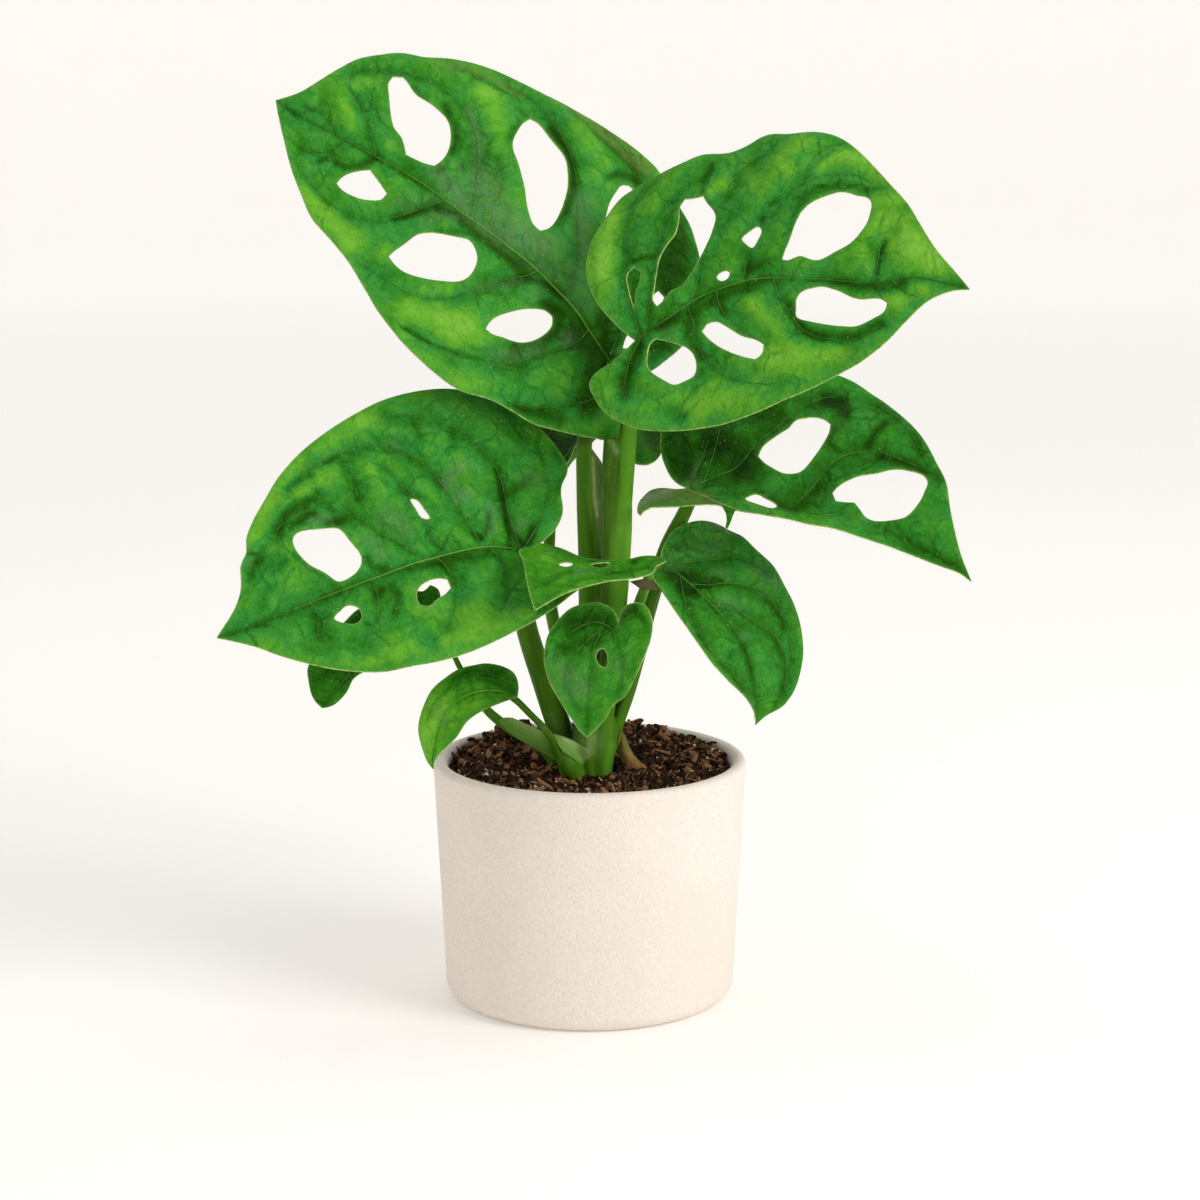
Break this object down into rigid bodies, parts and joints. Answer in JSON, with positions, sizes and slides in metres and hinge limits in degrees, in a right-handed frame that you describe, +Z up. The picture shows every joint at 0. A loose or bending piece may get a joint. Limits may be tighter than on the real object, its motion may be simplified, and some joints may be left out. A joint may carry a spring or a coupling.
{
  "type": "monstera adansonii in a round stoneware pot",
  "caption": "Young holed-leaf monstera with long arching leaf stalks, rooted in dark soil in a plain straight-sided round stoneware pot.",
  "frame": {"origin": "centre of the pot's flat underside, on the surface it stands on", "axes": "+Z up, -Y towards the viewer of the picture, +X to that viewer's right"},
  "size_m": [0.2781, 0.1595, 0.361],
  "materials": {
    "pot_stoneware": "matte fine-grained cream stoneware",
    "potting_soil": "dark crumbly peat and bark",
    "leaf_green": "leathery leaf with a soft waxy gloss",
    "stalk_green": "smooth fleshy stalk, satin",
    "dry_sheath_brown": "dry papery leaf sheath"
  },
  "bodies": {
    "root": {"pot": "pot_stoneware", "soil": "potting_soil", "crown": "stalk_green", "dry_sheath": "dry_sheath_brown", "leaf_1_upper_left": "leaf_green", "leaf_2_upper_right": "leaf_green", "leaf_3_right": "leaf_green", "leaf_4_left": "leaf_green", "leaf_5_hanging": "leaf_green", "leaf_6_front_heart": "leaf_green", "leaf_7_over_rim": "leaf_green", "leaf_8_back_left": "leaf_green", "leaf_9_behind_stems": "leaf_green", "leaf_10_low_front": "leaf_green", "stalk_1": "stalk_green", "stalk_2": "stalk_green", "stalk_3": "stalk_green", "stalk_4": "stalk_green", "stalk_5": "stalk_green", "stalk_6": "stalk_green", "stalk_7": "stalk_green", "stalk_8": "stalk_green", "stalk_9": "stalk_green", "stalk_10": "stalk_green"}
  },
  "joints": []
}
